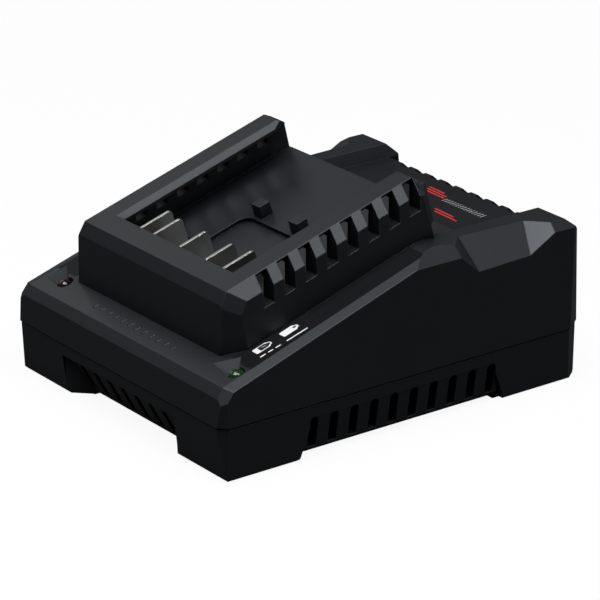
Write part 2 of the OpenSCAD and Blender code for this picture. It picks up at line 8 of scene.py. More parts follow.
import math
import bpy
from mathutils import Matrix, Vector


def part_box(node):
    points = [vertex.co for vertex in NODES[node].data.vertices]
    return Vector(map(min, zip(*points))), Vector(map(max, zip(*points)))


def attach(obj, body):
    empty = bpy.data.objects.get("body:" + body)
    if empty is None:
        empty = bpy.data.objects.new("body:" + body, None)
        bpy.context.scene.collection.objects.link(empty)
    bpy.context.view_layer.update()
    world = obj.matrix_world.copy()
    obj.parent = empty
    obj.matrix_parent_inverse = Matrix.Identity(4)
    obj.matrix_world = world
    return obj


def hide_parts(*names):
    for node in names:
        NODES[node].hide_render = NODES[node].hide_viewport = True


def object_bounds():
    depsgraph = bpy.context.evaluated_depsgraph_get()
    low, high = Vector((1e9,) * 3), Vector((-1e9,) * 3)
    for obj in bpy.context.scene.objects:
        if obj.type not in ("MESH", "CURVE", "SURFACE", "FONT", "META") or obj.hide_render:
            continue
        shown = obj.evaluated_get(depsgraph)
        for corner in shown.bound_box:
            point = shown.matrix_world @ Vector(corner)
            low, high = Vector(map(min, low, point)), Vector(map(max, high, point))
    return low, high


bl_info = {
    "name": "Battery Charger Finish",
    "version": (1, 0, 0),
    "blender": (4, 5, 0),
    "location": "3D View > Sidebar > Charger",
    "description": "Dresses the packed charger with finishes, prints, lights and small parts",
    "category": "Object",
}

import bpy
import numpy as np
from bpy.props import FloatProperty, FloatVectorProperty, IntProperty, PointerProperty
from mathutils import Matrix, Vector

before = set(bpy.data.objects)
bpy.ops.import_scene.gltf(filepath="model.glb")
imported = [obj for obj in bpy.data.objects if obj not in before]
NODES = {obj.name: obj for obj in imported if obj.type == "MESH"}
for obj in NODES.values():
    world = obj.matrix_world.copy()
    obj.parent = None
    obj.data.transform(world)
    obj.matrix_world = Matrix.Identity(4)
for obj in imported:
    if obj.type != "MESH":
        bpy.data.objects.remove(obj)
CAD_BOX = [list(corner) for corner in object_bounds()]

MM = 0.001
# the front lip of the case, which the case's own lengths are counted from
FRONT = CAD_BOX[0][1]
# the sloped deck's front edge, in mm behind the lip and above the floor, and its slope
DECK_Y, DECK_Z, DECK_TILT = 3.6, 29.6, math.radians(17.7)
# height of the level tray behind the dock, in mm, and a place on it
TRAY_Y, TRAY_Z = 100, 49.3
# share of painted shade, a darker and duller copy of the finish, on the deck's ledges and on
# the tray
LEDGE_SHADE, TRAY_SHADE = 0.72, 0.30
# room between a print and the surface under it
PRINT_GAP = 0.004 * MM
# share of the white of floor and room that shiny surfaces see
FLOOR_MIRRORED, ROOM_MIRRORED = 0.02, 0.04
# each lamp's name, place, size and power setting, and the point that all of them face
LAMPS = (
    ("softbox", (0.13, -0.32, 1.20), (0.86, 0.86), "key_power"),
    ("side_panel", (0.66, 0.27, 1.16), (0.60, 0.60), "side_power"),
    ("left_panel", (-1.25, -0.15, 0.85), (1.35, 0.72), "fill_power"),
)
LAMP_AIM = (0, 0, 0.03)
# the point that the camera's distance is counted from, and the lens shift
CAMERA_AIM = (0, -0.00175, 0.035)
CAMERA_SHIFT = (0.00704, -0.0474)


# ------------ settings


def colour(name, text, default):
    """A colour setting, in linear light."""
    return FloatVectorProperty(
        name=name, description=text, default=default, subtype="COLOR", size=3, min=0, max=1
    )


def length(name, text, default):
    """A length setting in metres."""
    return FloatProperty(
        name=name, description=text, default=default, subtype="DISTANCE", unit="LENGTH", min=0
    )


def power(name, text, default):
    """A lamp's power setting in watts."""
    return FloatProperty(name=name, description=text, default=default, unit="POWER", min=0)


def portion(name, text, default):
    """A setting that runs from zero to one."""
    return FloatProperty(name=name, description=text, default=default, min=0, max=1)


def angle(name, text, degrees):
    """An angle setting."""
    return FloatProperty(
        name=name, description=text, default=math.radians(degrees), subtype="ANGLE"
    )


class ChargerColours(bpy.types.PropertyGroup):
    """Colours of the charger's finishes."""

    housing: colour("Housing", "Moulded black of both housings", (0.0060, 0.0067, 0.0084))
    carrier: colour("Contact carrier", "Black of the blades' holder", (0.010, 0.010, 0.011))
    nickel: colour("Contact blades", "Nickel plating of the blades", (0.56, 0.55, 0.53))
    film: colour("Strip film", "Black film behind the battery signs", (0.0035, 0.0036, 0.0042))
    white_ink: colour("White print", "Ink of the signs and strokes", (0.70, 0.71, 0.72))
    red_ink: colour("Red print", "Ink of the red marks", (0.42, 0.022, 0.018))
    green_lens: colour("Green light", "Tint of the lit green light pipe", (0.16, 0.62, 0.07))
    red_lens: colour("Red light", "Tint of the unlit red light pipe", (0.17, 0.030, 0.034))
    laminate: colour("Board", "Solder mask of the circuit board", (0.012, 0.085, 0.035))
    ferrite: colour("Ferrite", "Transformer and choke core", (0.022, 0.022, 0.024))
    tape: colour("Winding tape", "Tape round the transformer's winding", (0.72, 0.47, 0.03))
    sleeve: colour("Capacitor sleeve", "Sleeve of the round capacitors", (0.012, 0.016, 0.045))
    aluminium: colour("Heat sinks", "Extruded aluminium", (0.62, 0.63, 0.65))
    epoxy: colour("Black epoxy", "Moulding of the semiconductors", (0.012, 0.012, 0.013))
    ceramic: colour("White epoxy", "Moulding of the optocoupler", (0.72, 0.72, 0.68))
    copper: colour("Winding wire", "Enamelled copper wire", (0.60, 0.20, 0.07))
    yellow: colour("Suppression capacitor", "Its yellow box", (0.62, 0.40, 0.035))
    terminal: colour("Mains terminal", "Green of the mains terminal", (0.03, 0.22, 0.07))
    rubber: colour("Cord gland", "Rubber of the cord gland", (0.012, 0.012, 0.012))
    steel: colour("Steel", "Zinc-plated screws and clamp", (0.52, 0.53, 0.55))


class ChargerSizes(bpy.types.PropertyGroup):
    """Sizes of the details that the finish adds."""

    edge_radius: length("Edge radius", "Rounding of the housings' moulded edges", 0.42 * MM)
    small_radius: length("Small edge radius", "Rounding of the inner parts' edges", 0.18 * MM)
    grain_pitch: length("Grain pitch", "Distance between bumps of the moulded grain", 0.42 * MM)
    grain_depth: length("Grain depth", "Height of the moulded grain", 0.012 * MM)
    ink_depth: length("Print thickness", "Height of the printed signs", 0.05 * MM)
    dash_depth: length("Dash height", "Height of the front ledge's raised dashes", 0.16 * MM)
    wire_radius: length("Wire radius", "Radius of the choke's wire", 0.55 * MM)
    choke_turns: IntProperty(
        name="Choke turns", description="Turns of wire round the choke",
        default=26, min=8, max=40,
    )


class ChargerStage(bpy.types.PropertyGroup):
    """Light, floor and camera."""

    key_power: power("Key power", "Power of the softbox above", 17.5)
    side_power: power("Side power", "Power of the panel above on the right", 6.3)
    fill_power: power("Fill power", "Power of the wide panel on the left", 2.3)
    floor_tone: portion("Floor tone", "Grey of the floor", 0.05)
    floor_glow: portion("Floor white", "White that the floor shows to the camera", 0.93)
    room_tone: portion("Room light", "Light of the room", 0.06)
    azimuth: angle("Azimuth", "Camera's angle round the case", 53.26718)
    elevation: angle("Elevation", "Camera's height angle", 21.01222)
    distance: length("Distance", "From the camera to the case", 1.08655)
    lens: FloatProperty(
        name="Lens", description="Focal length in millimetres", default=204.69,
        subtype="DISTANCE_CAMERA", min=1,
    )


class ChargerSettings(bpy.types.PropertyGroup):
    """All settings of the charger."""

    colours: PointerProperty(type=ChargerColours)
    sizes: PointerProperty(type=ChargerSizes)
    stage: PointerProperty(type=ChargerStage)


# ------------ shader maths


class Signal:
    """One output socket in a node tree; plain arithmetic on it adds Math nodes."""

    def __init__(self, graph, socket):
        self.graph = graph
        self.socket = socket

    def math(self, operation, *values):
        """A Math node on these values or signals."""
        inputs = dict(enumerate(values))
        return self.graph.node("ShaderNodeMath", {"operation": operation}, inputs)

    def __add__(self, other):
        return self.math("ADD", self, other)

    def __radd__(self, other):
        return self.math("ADD", other, self)

    def __sub__(self, other):
        return self.math("SUBTRACT", self, other)

    def __rsub__(self, other):
        return self.math("SUBTRACT", other, self)

    def __mul__(self, other):
        return self.math("MULTIPLY", self, other)

    def __rmul__(self, other):
        return self.math("MULTIPLY", other, self)

    def __truediv__(self, other):
        return self.math("DIVIDE", self, other)

    def __rtruediv__(self, other):
        return self.math("DIVIDE", other, self)

    def root(self):
        """Square root."""
        return self.math("SQRT", self)

    def fraction(self):
        """What is left over a whole number."""
        return self.math("FRACT", self)

    def absolute(self):
        """The signal without its sign."""
        return self.math("ABSOLUTE", self)

    def most(self, other):
        """The larger of two."""
        return self.math("MAXIMUM", self, other)

    def least(self, other):
        """The smaller of two."""
        return self.math("MINIMUM", self, other)

    def above(self, edge):
        """One where the signal is above edge, else zero."""
        return self.math("GREATER_THAN", self, edge)

    def between(self, low, high):
        """One from low to high, else zero."""
        return self.above(low) * (1 - self.above(high))

    def smooth(self, low, high):
        """Runs smoothly from zero at low to one at high."""
        return self.graph.node(
            "ShaderNodeMapRange",
            {"interpolation_type": "SMOOTHSTEP"},
            {"Value": self, "From Min": low, "From Max": high},
        )


class Graph:
    """A node tree that is built from empty."""

    def __init__(self, tree):
        self.tree = tree
        self.tree.nodes.clear()

    def node(self, kind, settings=None, inputs=None, output=0):
        """Adds a node with its settings, then the values or links of its sockets."""
        made = self.tree.nodes.new(kind)
        for key, value in (settings or {}).items():
            setattr(made, key, value)
        for key, value in (inputs or {}).items():
            socket = made.inputs[key]
            if isinstance(value, Signal):
                self.tree.links.new(value.socket, socket)
            elif socket.type == "RGBA" and len(value) == 3:
                socket.default_value = (*value, 1)
            else:
                socket.default_value = value
        return Signal(self, made.outputs[output]) if len(made.outputs) else None

    def mix(self, share, first, second):
        """Colour that goes from first to second with share."""
        first, second = (v if isinstance(v, Signal) else tuple(v) for v in (first, second))
        return self.node(
            "ShaderNodeMix", {"data_type": "RGBA"}, {0: share, 6: first, 7: second}, output=2
        )

    def seen(self, mirrored):
        """One for what the camera or glass sees, mirrored for what shiny surfaces see."""
        camera, glossy, glass = (
            self.node("ShaderNodeLightPath", output=f"Is {kind} Ray")
            for kind in ("Camera", "Glossy", "Transmission")
        )
        direct = camera + glass
        return (direct + glossy * mirrored).least(1.0)


class Finish(Graph):
    """A material in the making, with its pattern on Object coordinates."""

    def __init__(self, name):
        self.material = bpy.data.materials.new(name)
        self.material.use_nodes = True
        super().__init__(self.material.node_tree)
        self.place = self.node("ShaderNodeTexCoord", output="Object")

    def split(self, vector, axis):
        """One coordinate of a vector."""
        return self.node("ShaderNodeSeparateXYZ", inputs={0: vector}, output=axis)

    def axes(self):
        """The three Object coordinates."""
        return [self.split(self.place, axis) for axis in range(3)]

    def cloud(self, pitch, detail=2, stretch=(1, 1, 1)):
        """Noise of about that pitch in metres, from zero to one."""
        place = self.node("ShaderNodeMapping", inputs={"Vector": self.place, "Scale": stretch})
        return self.node(
            "ShaderNodeTexNoise", inputs={"Vector": place, "Scale": 1 / pitch, "Detail": detail}
        )

    def shades(self, pattern, tone, dark, pale):
        """Colour between two multiples of a plain tone, as the pattern runs."""
        return self.mix(pattern, lighter(tone, dark), lighter(tone, pale))

    def rounded(self, radius):
        """Normal of a surface whose edges are rounded."""
        return self.node("ShaderNodeBevel", {"samples": 6}, {"Radius": radius})

    def edges(self, normal):
        """One along the rounded edges, zero on the faces."""
        flat = self.node("ShaderNodeNewGeometry", output="Normal")
        dot = {"operation": "DOT_PRODUCT"}
        along = self.node("ShaderNodeVectorMath", dot, {0: normal, 1: flat}, output="Value")
        return (1 - along).smooth(0.01, 0.16)

    def openness(self, reach):
        """One on open faces and outer edges, falling to zero in corners and slots."""
        settings = {"samples": 4, "only_local": True}
        inputs = {"Distance": reach}
        return self.node("ShaderNodeAmbientOcclusion", settings, inputs, output="AO")

    def bump(self, height, depth, normal=None):
        """Normal with height pressed into it."""
        inputs = {"Height": height, "Distance": depth, "Strength": 1.0}
        if normal:
            inputs["Normal"] = normal
        return self.node("ShaderNodeBump", inputs=inputs)

    def shader(self, **sockets):
        """A Principled shader; words are socket names with _ for each space."""
        named = {key.replace("_", " "): value for key, value in sockets.items()}
        return self.node("ShaderNodeBsdfPrincipled", inputs=named)

    def finished(self, surface):
        """Leads the shader to the output and gives the material."""
        self.node("ShaderNodeOutputMaterial", inputs={"Surface": surface})
        return self.material

    def principled(self, **sockets):
        """The material of one Principled shader."""
        return self.finished(self.shader(**sockets))


def lighter(tone, factor):
    """Plain colour times a factor, up to white."""
    return tuple(min(1.0, v * factor) for v in tone)


# ------------ finishes


def shaded_decks(f):
    """Share of painted shade: high on the sloped ledges on both sides of the dock, low on the
    rear tray, else zero.

    In mm, the ledges lie beyond x 42.5 between y 14 and 87, the tray within x 38 behind y 90.
    """
    x, y, z = f.axes()
    along = (y - FRONT) / MM
    above = z / MM - DECK_Z - (along - DECK_Y) * math.tan(DECK_TILT)
    across = (x / MM).absolute()
    ledges = above.between(-0.05, 0.4) * across.smooth(42.0, 43.0)
    ledges = ledges * along.smooth(13.5, 14.5) * (1 - along.above(87.0))
    level = (z / MM).between(TRAY_Z - 0.1, TRAY_Z + 0.1)
    tray = level * (1 - across.smooth(36.0, 40.0)) * along.above(90.0)
    return ledges * LEDGE_SHADE + tray * TRAY_SHADE


def moulded_plastic(name, tone, sizes, rough=0.40, radius=None, gloss=0.5, matt_and_shade=None):
    """Spark-grained mouldings: fine even grain, slow change of gloss, burnished edges.

    Along open edges the colour turns much lighter, which is a painted highlight. In corners and
    slots a darker, duller shader takes over as painted shade, and so it does by the share that
    the optional mask gives.
    """
    f = Finish(name)
    normal = f.rounded(radius or sizes.edge_radius)
    clear = f.openness(reach=7 * MM)
    # painted highlight and wear: a band along open, convex edges, which lightens the colour and
    # smooths the surface
    wear_and_highlight = f.edges(normal) * clear.smooth(0.70, 0.95)
    # painted shade: darker in corners and slots, where little of the room is open
    painted_shade_share = 1 - clear.smooth(0.34, 0.93)
    # painted shade also where the given mask asks for it
    if matt_and_shade:
        painted_shade_share = painted_shade_share.most(matt_and_shade(f))
    slow = f.cloud(22 * MM, 3)
    grain = f.cloud(sizes.grain_pitch, 3)
    pits = f.cloud(sizes.grain_pitch * 2.6, 1)
    base = f.shades(slow, tone, 0.86, 1.16)
    # painted highlight: the colour turns much lighter along that band
    base = f.mix(wear_and_highlight * 0.8, base, lighter(tone, 6.5))
    relief = f.bump(grain * 0.7 + pits * 0.3, sizes.grain_depth, normal)
    open_face = f.shader(
        Base_Color=base,
        Roughness=rough - 0.04 + slow * 0.08 + grain * 0.05 - wear_and_highlight * 0.07,
        Specular_IOR_Level=gloss,
        Specular_Tint=(0.86, 0.94, 1.0, 1.0),
        Normal=relief,
    )
    # painted shade: a darker, duller copy of the finish
    painted_shade_face = f.shader(
        Base_Color=f.shades(slow, tone, 0.20, 0.32),
        Roughness=0.72 + grain * 0.1,
        Specular_IOR_Level=0.06,
        Normal=relief,
    )
    shaders = {0: painted_shade_share * 0.97, 1: open_face, 2: painted_shade_face}
    return f.finished(f.node("ShaderNodeMixShader", inputs=shaders))


def plated_metal(name, tone, radius, rough=0.24, line=(1, 1, 0.06)):
    """Rolled and plated metal: fine lines one way, dull patches, bright edges."""
    f = Finish(name)
    normal = f.rounded(radius)
    wear_and_highlight = f.edges(normal)
    lines = f.cloud(0.22 * MM, stretch=line)
    dull = f.cloud(5 * MM, 3)
    base = f.shades(dull, tone, 0.80, 1.08)
    base = f.mix(wear_and_highlight * 0.6, base, lighter(tone, 1.5))
    return f.principled(
        Base_Color=base,
        Metallic=1.0,
        Roughness=rough + lines * 0.12 + dull * 0.10 - wear_and_highlight * 0.08,
        Normal=f.bump(lines, 0.004 * MM, normal),
    )


def film(name, tone):
    """Thin printed film: even, with a faint orange peel."""
    f = Finish(name)
    peel = f.cloud(1.4 * MM, 1)
    dust = f.cloud(0.5 * MM)
    return f.principled(
        Base_Color=f.shades(dust, tone, 0.8, 1.3),
        Roughness=0.34 + peel * 0.1,
        Specular_IOR_Level=0.22,
        Normal=f.bump(peel, 0.006 * MM),
    )


def ink(name, tone):
    """Screen-printed ink: a fine mesh pattern and slightly uneven cover."""
    f = Finish(name)
    cover = f.cloud(0.6 * MM, 3)
    mesh = f.cloud(0.16 * MM, 1)
    return f.principled(
        Base_Color=f.shades(cover, tone, 0.93, 1.04),
        Roughness=0.46 + mesh * 0.12,
        Normal=f.bump(mesh, 0.003 * MM),
    )


def lens(name, tone, glow, centre):
    """Clear tinted dome: dark in the middle, with a bright band on the side behind.
    The band's lighter colour is a painted highlight; its stronger glow is the LED's light
    in the lit pipe and painted glow in the unlit one.

    The band starts 1.2 to 2.1 mm from the dome's axis.
    """
    f = Finish(name)
    x, y, _ = f.axes()
    dx, dy = (x - centre[0]) / MM, (y - centre[1]) / MM
    far = (dx * dx + dy * dy).root()
    # painted highlight and glow: a band towards the rear and left, lighter in colour and
    # glowing more
    ring = far.smooth(1.2, 2.1) * (dy * 0.6 - dx * 0.8).smooth(-0.6, 1.2)
    haze = f.cloud(0.8 * MM)
    return f.principled(
        Base_Color=f.shades(ring, tone, 0.04, 0.35),
        Roughness=0.10 + haze * 0.05,
        Coat_Weight=0.25,
        Coat_Roughness=0.05,
        Emission_Color=f.shades(ring, tone, 0.01, 0.7 + 0.3 * glow),
        Emission_Strength=glow,
        Normal=f.bump(haze, 0.01 * MM),
    )


def board_laminate(name, mask, copper):
    """Solder mask over copper: raised tracks both ways and bare tinned pads."""
    f = Finish(name)
    weave = f.cloud(0.5 * MM)
    place = f.node("ShaderNodeMapping", inputs={"Vector": f.place, "Scale": (1, 1, 0)})
    cells = {"Vector": place, "Scale": 1 / (6.5 * MM), "Randomness": 0.85}
    tracks = f.node("ShaderNodeTexVoronoi", {"distance": "CHEBYCHEV"}, cells)
    band = (tracks * 5.0).fraction().between(0.25, 0.62)
    pads = {"Vector": place, "Scale": 1 / (4.2 * MM), "Randomness": 0.7}
    dots = f.node("ShaderNodeTexVoronoi", inputs=pads)
    pad = 1 - dots.above(0.16)
    base = f.mix(band, mask, f.mix(0.16, mask, copper))
    base = f.mix(pad, base, (0.55, 0.55, 0.53))
    return f.principled(
        Base_Color=base,
        Metallic=pad,
        Roughness=0.30 + weave * 0.16 - band * 0.05,
        Normal=f.bump(band + pad * 0.8 + weave * 0.12, 0.03 * MM, f.rounded(0.12 * MM)),
    )


def sintered(name, tone, radius):
    """Ground ferrite: dull grey with fine pores and chipped edges."""
    f = Finish(name)
    normal = f.rounded(radius)
    wear_and_highlight = f.edges(normal)
    pores = f.cloud(0.35 * MM, 4)
    slow = f.cloud(6 * MM)
    base = f.shades(slow, tone, 0.8, 1.3)
    base = f.mix(wear_and_highlight * 0.5, base, lighter(tone, 2.4))
    return f.principled(
        Base_Color=base,
        Roughness=0.52 + pores * 0.2,
        Normal=f.bump(pores, 0.03 * MM, normal),
    )


def wrapped_tape(name, tone, radius):
    """Polyester tape in overlapping turns, thin lines along their edges."""
    f = Finish(name)
    _, _, z = f.axes()
    ripple = f.cloud(2.5 * MM, stretch=(1, 1, 3))
    turn = (z / (3.1 * MM) + ripple * 0.12).fraction()
    seam = 1 - turn.smooth(0.0, 0.08)
    base = f.shades(ripple, tone, 0.82, 1.1)
    base = f.mix(seam * 0.7, base, lighter(tone, 0.35))
    return f.principled(
        Base_Color=base,
        Roughness=0.24 + ripple * 0.14,
        Coat_Weight=0.35,
        Normal=f.bump(turn, 0.06 * MM, f.rounded(radius)),
    )


def can_sleeve(name, tone, metal):
    """Shrunk sleeve with a pale minus stripe, bare can on the top."""
    f = Finish(name)
    uv = f.node("ShaderNodeTexCoord", output="UV")
    u, v = f.split(uv, 0), f.split(uv, 1)
    stripe = u.between(0.30, 0.42)
    beat = (v * 9.0).fraction()
    dash = stripe * u.between(0.345, 0.375) * beat.between(0.2, 0.6)
    bare = v.above(0.86)
    shrink = f.cloud(3 * MM)
    base = f.shades(shrink, tone, 0.8, 1.25)
    base = f.mix(stripe, base, (0.42, 0.43, 0.46))
    base = f.mix(dash, base, tone)
    base = f.mix(bare, base, metal)
    return f.principled(
        Base_Color=base,
        Metallic=bare,
        Roughness=0.22 + shrink * 0.14 + bare * 0.08,
        Normal=f.bump(shrink, 0.05 * MM),
    )


def enamelled_wire(name, tone):
    """Copper wire under clear enamel, with an uneven tone."""
    f = Finish(name)
    uneven = f.cloud(1.2 * MM, 3)
    return f.principled(
        Base_Color=f.shades(uneven, tone, 0.72, 1.2),
        Metallic=1.0,
        Roughness=0.20 + uneven * 0.14,
        Coat_Weight=0.5 + uneven * 0.3,
        Normal=f.bump(uneven, 0.008 * MM),
    )


def moulded_epoxy(name, tone, radius, rough=0.48):
    """Transfer-moulded package: satin with fine flow marks."""
    f = Finish(name)
    normal = f.rounded(radius)
    wear_and_highlight = f.edges(normal)
    flow = f.cloud(2.2 * MM, 3, stretch=(1, 1, 2))
    grain = f.cloud(0.2 * MM)
    base = f.shades(flow, tone, 0.85, 1.18)
    base = f.mix(wear_and_highlight * 0.35, base, lighter(tone, 1.7))
    return f.principled(
        Base_Color=base,
        Roughness=rough + grain * 0.14 - flow * 0.06,
        Normal=f.bump(grain, 0.01 * MM, normal),
    )


def fuse_finish(name, low, high):
    """Ceramic tube between two plated caps along Y."""
    f = Finish(name)
    _, y, _ = f.axes()
    share = (y - low) / (high - low)
    cap = 1 - share.between(0.24, 0.76)
    mottle = f.cloud(1.5 * MM, 3)
    base = f.mix(mottle, (0.60, 0.55, 0.44), (0.74, 0.70, 0.60))
    return f.principled(
        Base_Color=f.mix(cap, base, (0.62, 0.61, 0.58)),
        Metallic=cap,
        Roughness=0.40 - cap * 0.14 + mottle * 0.1,
        Normal=f.bump(mottle, 0.02 * MM, f.rounded(0.1 * MM)),
    )


# ------------ surfaces


def piece(name, points, faces, material, uv=None, smooth=True):
    """Puts points and faces into a new object that rides on the charger."""
    mesh = bpy.data.meshes.new(name)
    mesh.from_pydata(np.asarray(points, float), [], faces)
    if uv is not None:
        layer = mesh.uv_layers.new(name="UVMap")
        corner = np.zeros(len(mesh.loops), dtype=np.int32)
        mesh.loops.foreach_get("vertex_index", corner)
        layer.uv.foreach_set("vector", np.asarray(uv, np.float32)[corner].ravel())
    mesh.polygons.foreach_set("use_smooth", np.full(len(mesh.polygons), smooth))
    mesh.materials.append(material)
    mesh.update()
    made = bpy.data.objects.new(name, mesh)
    bpy.context.scene.collection.objects.link(made)
    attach(made, "root")
    return made


def grid_faces(rows, columns):
    """Quads of a rows by columns grid whose columns close round."""
    i, j = np.meshgrid(np.arange(rows - 1), np.arange(columns), indexing="ij")
    k = (j + 1) % columns
    here, ahead = i * columns, (i + 1) * columns
    return np.stack([here + j, here + k, ahead + k, ahead + j], -1).reshape(-1, 4).tolist()


def hoop_faces(rows, columns):
    """Quads of a grid whose rows close round as well, turned to face outwards."""
    faces = np.asarray(grid_faces(rows + 1, columns)) % (rows * columns)
    return faces[:, ::-1].tolist()


def turned(profile, centre, steps=48):
    """Surface of revolution: at angle a, the profile's (r, z) stands at (r cos a, r sin a, z).

    The profile runs from the bottom of the axis to its top, so its ends close the piece.
    """
    profile = np.asarray(profile, float)
    ring, tips = profile[1:-1], profile[[0, -1]]
    a = np.linspace(0, 2 * math.pi, steps, endpoint=False)
    r, turn = np.meshgrid(ring[:, 0], a, indexing="ij")
    z = np.repeat(ring[:, 1], steps).reshape(r.shape)
    points = np.stack([r * np.cos(turn), r * np.sin(turn), z], -1).reshape(-1, 3)
    points = np.vstack([points, [[0, 0, tips[0, 1]], [0, 0, tips[1, 1]]]])
    points = points * MM + centre
    faces = grid_faces(len(ring), steps)
    low, high, last = len(ring) * steps, len(ring) * steps + 1, (len(ring) - 1) * steps
    j = np.arange(steps)
    k = (j + 1) % steps
    faces += np.stack([np.full(steps, low), k, j], -1).tolist()
    faces += np.stack([np.full(steps, high), last + j, last + k], -1).tolist()
    step = np.linalg.norm(np.diff(profile, axis=0), axis=1)
    along = np.concatenate([[0], np.cumsum(step)]) / step.sum()
    u = np.tile(np.arange(steps) / steps, len(ring))
    v = np.repeat(along[1:-1], steps)
    uv = np.vstack([np.stack([u, v], -1), [[0, 0], [0, 1]]])
    return points, faces, uv


def arc(centre, radius, start, end, count):
    """Points at centre + radius (cos t, sin t), t from start to end in degrees."""
    t = np.radians(np.linspace(start, end, count))
    return np.stack([centre[0] + radius * np.cos(t), centre[1] + radius * np.sin(t)], -1)


def swept_tube(path, radius, sides=8):
    """Round profile carried along a closed path.

    At each point the profile's plane is square to the chord between its neighbours.
    """
    ahead = np.roll(path, -1, 0) - np.roll(path, 1, 0)
    ahead /= np.linalg.norm(ahead, axis=1, keepdims=True)
    side = np.cross(ahead, (0, 0, 1.0))
    side /= np.linalg.norm(side, axis=1, keepdims=True) + 1e-9
    up = np.cross(side, ahead)
    t = np.linspace(0, 2 * math.pi, sides, endpoint=False)
    cos, sin = np.cos(t)[None, :, None], np.sin(t)[None, :, None]
    ring = cos * side[:, None] + sin * up[:, None]
    points = (path[:, None] + radius * ring).reshape(-1, 3)
    return points, hoop_faces(len(path), sides)


class Plane:
    """A flat place on the case: origin, and the directions of its x, y and height."""

    def __init__(self, y, z, tilt):
        self.origin = np.array([0, FRONT + y * MM, z * MM])
        self.along = np.array([0, math.cos(tilt), math.sin(tilt)])
        self.out = np.array([0, -math.sin(tilt), math.cos(tilt)])
        self.tilt = tilt

    def at(self, flat, height):
        """Points in mm (x across, y from the lip) laid on the plane, raised by height."""
        flat = np.asarray(flat, float)
        down_slope = (flat[:, 1] * MM + FRONT - self.origin[1]) / math.cos(self.tilt)
        points = self.origin + down_slope[:, None] * self.along + height * self.out
        points[:, 0] = flat[:, 0] * MM
        return points


DECK = Plane(DECK_Y, DECK_Z, DECK_TILT)
TRAY = Plane(TRAY_Y, TRAY_Z, 0)


def lofted(rings):
    """Closed shell through a row of rings with equal numbers of points: walls and two caps."""
    rows, n, _ = rings.shape
    caps = [list(range(n))[::-1], list(range((rows - 1) * n, rows * n))]
    return rings.reshape(-1, 3), caps + grid_faces(rows, n)


def slab(outline, plane, low, high, draft=0.0):
    """Flat shape between two heights over a plane.

    The upper outline is drawn towards its centre by the share draft.
    """
    outline = np.asarray(outline, float)
    (x, y), (next_x, next_y) = outline.T, np.roll(outline, -1, 0).T
    if np.sum(x * next_y - next_x * y) < 0:
        outline = outline[::-1]
    centre = outline.mean(0)
    upper = centre + (outline - centre) * (1 - draft)
    return lofted(np.stack([plane.at(outline, low), plane.at(upper, high)]))


def joined(parts):
    """Several point and face sets as one."""
    points, faces = [], []
    for more, shell in parts:
        start = sum(map(len, points))
        points.append(more)
        faces += [[int(v) + start for v in face] for face in shell]
    return np.vstack(points), faces


def raised(name, shapes, material, plane, low, high, draft=0.0):
    """One piece of flat shapes between two heights over a plane."""
    points, faces = joined([slab(shape, plane, low, high, draft) for shape in shapes])
    return piece(name, points, faces, material, smooth=False)


def bar(a, b, width):
    """Outline of a straight stroke from a to b."""
    a, b = np.asarray(a, float), np.asarray(b, float)
    side = np.array([a[1] - b[1], b[0] - a[0]])
    side *= width / 2 / np.linalg.norm(side)
    return [a + side, a - side, b - side, b + side]


def battery_outline(x, y, width, reach):
    """Battery sign lying along Y: a box with rounded corners and a rounded nose behind."""
    h, body = width / 2, reach - 1.0
    nose = h * 0.55
    r, tip = 0.4, 0.5
    return np.vstack([
        arc((x - h + r, y + r), r, 180, 270, 5),
        arc((x + h - r, y + r), r, 270, 360, 5),
        arc((x + h - r, y + body - r), r, 0, 90, 5),
        arc((x + nose - tip, y + reach - tip), tip, 0, 90, 5),
        arc((x - nose + tip, y + reach - tip), tip, 90, 180, 5),
        arc((x - h + r, y + body - r), r, 90, 180, 5),
    ])


def dress(material, *names):
    """Gives CAD nodes a finish."""
    for name in names:
        slots = NODES[name].data.materials
        slots.clear()
        slots.append(material)


def middle(name):
    """Centre of a CAD node's box in plan, and its low and high Z, in metres."""
    low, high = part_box(name)
    return ((low[0] + high[0]) / 2, (low[1] + high[1]) / 2), low[2], high[2]


# ------------ operators


class CHARGER_OT_housings(bpy.types.Operator):
    """Finish both housings as black grained mouldings."""

    bl_idname = "charger.housings"
    bl_label = "Finish Housings"

    def execute(self, context):
        s = context.scene.charger
        tone = s.colours.housing
        # painted shade on the ledges beside the dock and on the rear tray
        upper = moulded_plastic("housing_black", tone, s.sizes, matt_and_shade=shaded_decks)
        dress(upper, "upper_housing")
        lower = moulded_plastic("base_black", tone, s.sizes, rough=0.44, gloss=0.45)
        dress(lower, "lower_housing")
        return {"FINISHED"}


class CHARGER_OT_contacts(bpy.types.Operator):
    """Finish the nickel blades and the carrier that holds them."""

    bl_idname = "charger.contacts"
    bl_label = "Finish Contacts"

    def execute(self, context):
        s = context.scene.charger
        nickel = plated_metal("contact_nickel", s.colours.nickel, 0.16 * MM)
        dress(nickel, *[n for n in NODES if n.endswith("contact_blade")])
        small = s.sizes.small_radius
        tone = s.colours.carrier
        carrier = moulded_plastic("carrier_black", tone, s.sizes, rough=0.5, radius=small)
        dress(carrier, "contact_carrier")
        return {"FINISHED"}


